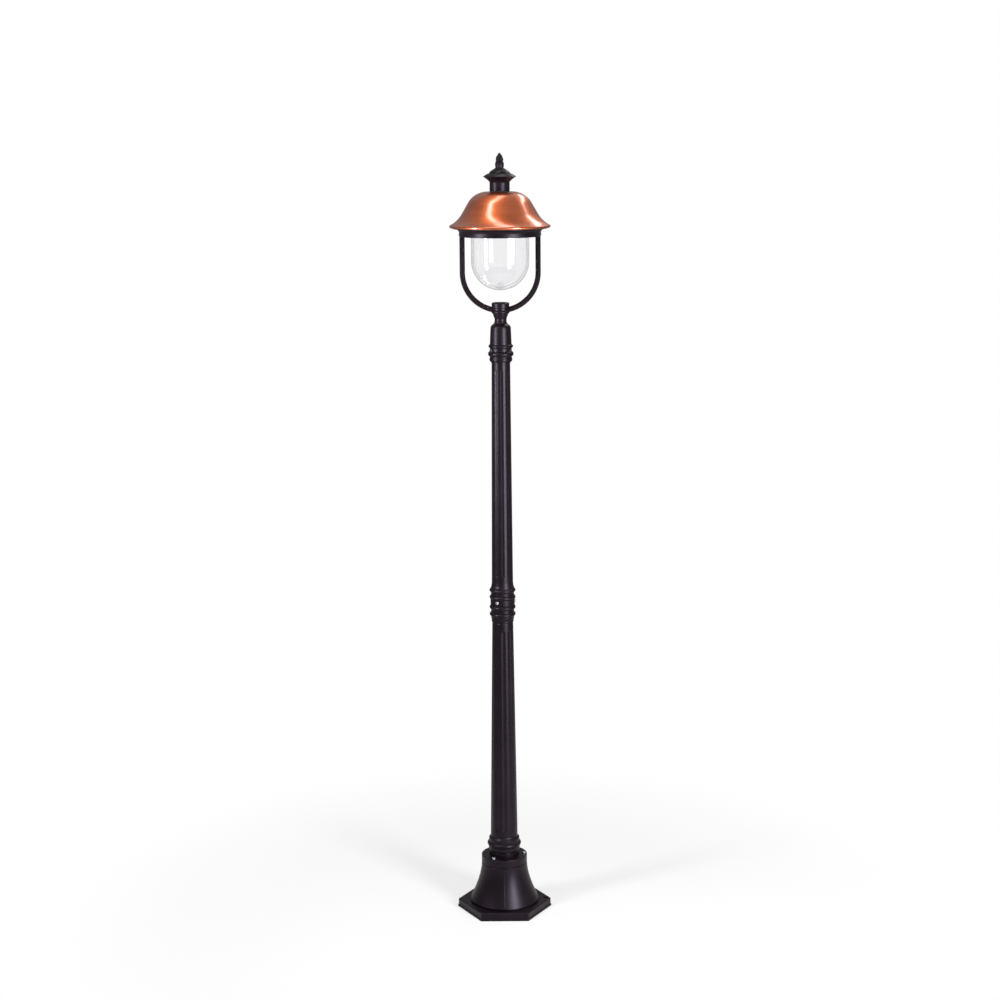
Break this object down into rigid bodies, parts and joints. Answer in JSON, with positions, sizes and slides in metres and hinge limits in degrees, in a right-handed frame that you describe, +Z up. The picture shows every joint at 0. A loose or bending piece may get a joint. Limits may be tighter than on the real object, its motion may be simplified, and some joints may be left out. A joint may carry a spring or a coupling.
{
  "type": "lamp post",
  "caption": "Garden lamp post with a hexagonal cast foot, a fluted post in two lengths, a U-shaped bracket and a lantern with a clear bell under a spun copper roof.",
  "frame": {"origin": "centre of the foot, on the ground that it stands on", "axes": "+Z up the post; the bracket lies in the XZ plane, and the front seen in the picture faces -Y"},
  "size_m": [0.2562, 0.2562, 2],
  "materials": {
    "black_coat": "satin black powder coat on cast aluminium",
    "stainless": "plain stainless steel",
    "zinc_steel": "zinc-plated steel",
    "brass": "plain brass",
    "porcelain": "glazed white porcelain",
    "copper": "spun copper sheet with a satin lacquer",
    "clear_acrylic": "clear moulded acrylic",
    "silicone": "matte silicone",
    "black_rubber": "matte rubber"
  },
  "bodies": {
    "root": {"base_casting": "black_coat", "cable_grommet": "black_rubber", "clamp_collar": "black_coat", "clamp_screws": "stainless", "lower_post": "black_coat", "upper_post": "black_coat", "joint_screws": "stainless", "neck": "black_coat", "neck_screws": "stainless", "hub": "black_coat", "hub_stem": "zinc_steel", "stem_nut": "zinc_steel", "hub_cap": "black_coat", "bracket": "black_coat", "arm_nipples": "zinc_steel", "arm_nuts": "zinc_steel", "carrier_ring": "black_coat", "gasket": "silicone", "diffuser": "clear_acrylic", "diffuser_clips": "stainless", "clip_screws": "stainless", "bridge": "zinc_steel", "bridge_screws": "stainless", "lampholder": "porcelain", "screw_shell": "brass", "lamp_contact": "brass", "terminal_block": "porcelain", "terminal_screws": "brass", "earth_screw": "brass", "roof_rod": "zinc_steel", "rod_nuts": "zinc_steel", "copper_roof": "copper", "roof_seal": "black_rubber", "chimney_collar": "black_coat", "chimney_cap": "black_coat", "finial": "black_coat"}
  },
  "joints": []
}
